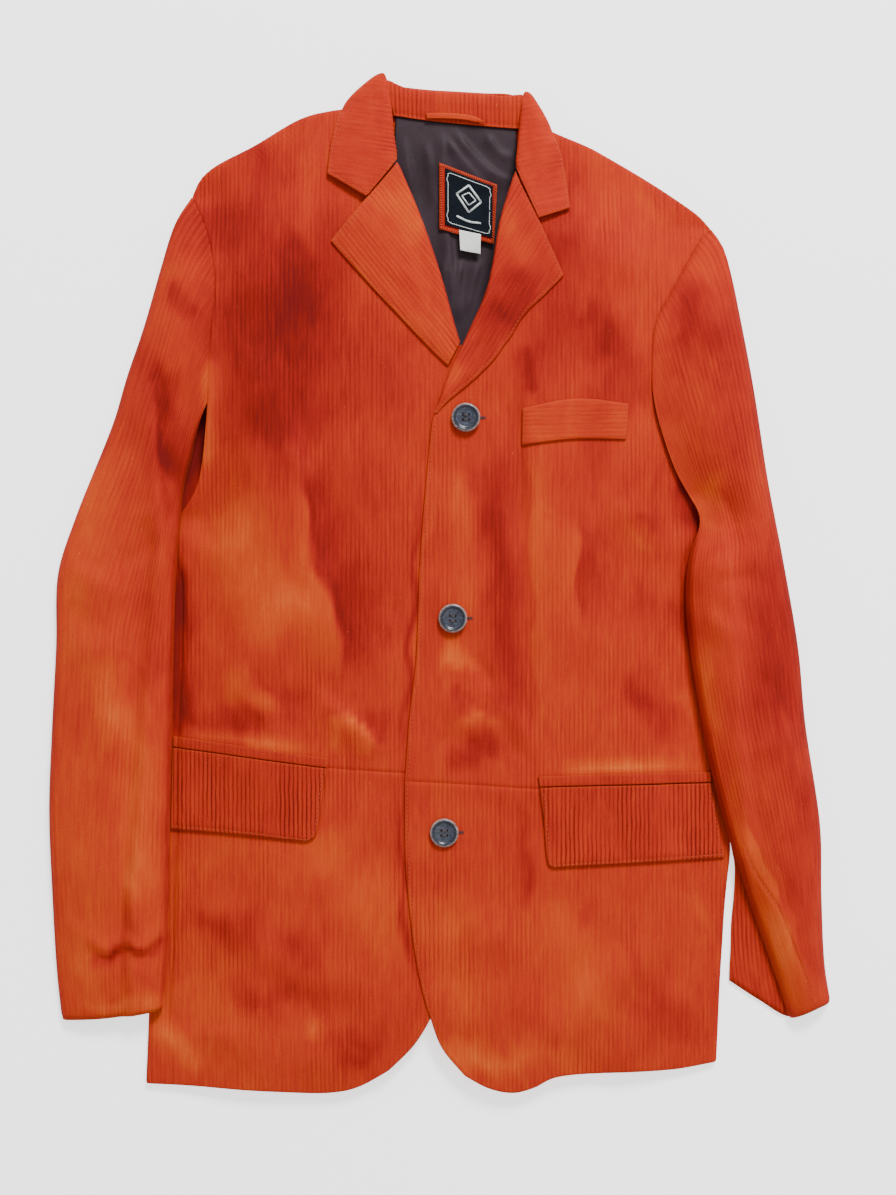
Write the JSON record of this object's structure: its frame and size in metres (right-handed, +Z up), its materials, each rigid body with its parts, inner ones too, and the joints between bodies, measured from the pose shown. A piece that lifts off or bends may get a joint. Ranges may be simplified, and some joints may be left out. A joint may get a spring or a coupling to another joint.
{
  "type": "suede jacket",
  "caption": "Ribbed suede jacket with notched lapels and flap pockets, laid flat on its back with its sleeves beside it.",
  "frame": {"origin": "middle of the laid-out jacket's outline, on the surface that it lies on", "axes": "+Y from the hem up to the collar, +Z up out of the front, +X to the wearer's left"},
  "size_m": [0.6128, 0.7994, 0.0313],
  "materials": {
    "suede": "ribbed nap, matte",
    "lining": "satin",
    "label": "smooth, matte",
    "tag": "woven ribbon",
    "button": "polished resin"
  },
  "bodies": {
    "root": {"back": "suede", "front_right_upper": "suede", "front_right_lower": "suede", "front_left_upper": "suede", "front_left_lower": "suede", "lapel_right": "suede", "lapel_left": "suede", "collar_fall": "suede", "collar_stand": "suede", "hanger_loop": "suede", "sleeve_right_top": "suede", "sleeve_right_under": "suede", "sleeve_left_top": "suede", "sleeve_left_under": "suede", "welt_right": "suede", "welt_left": "suede", "flap_right": "suede", "flap_left": "suede", "chest_welt": "suede", "lining_back": "lining", "label_border": "suede", "label": "label", "size_tag": "tag", "button_1": "button", "button_2": "button", "button_3": "button"}
  },
  "joints": []
}
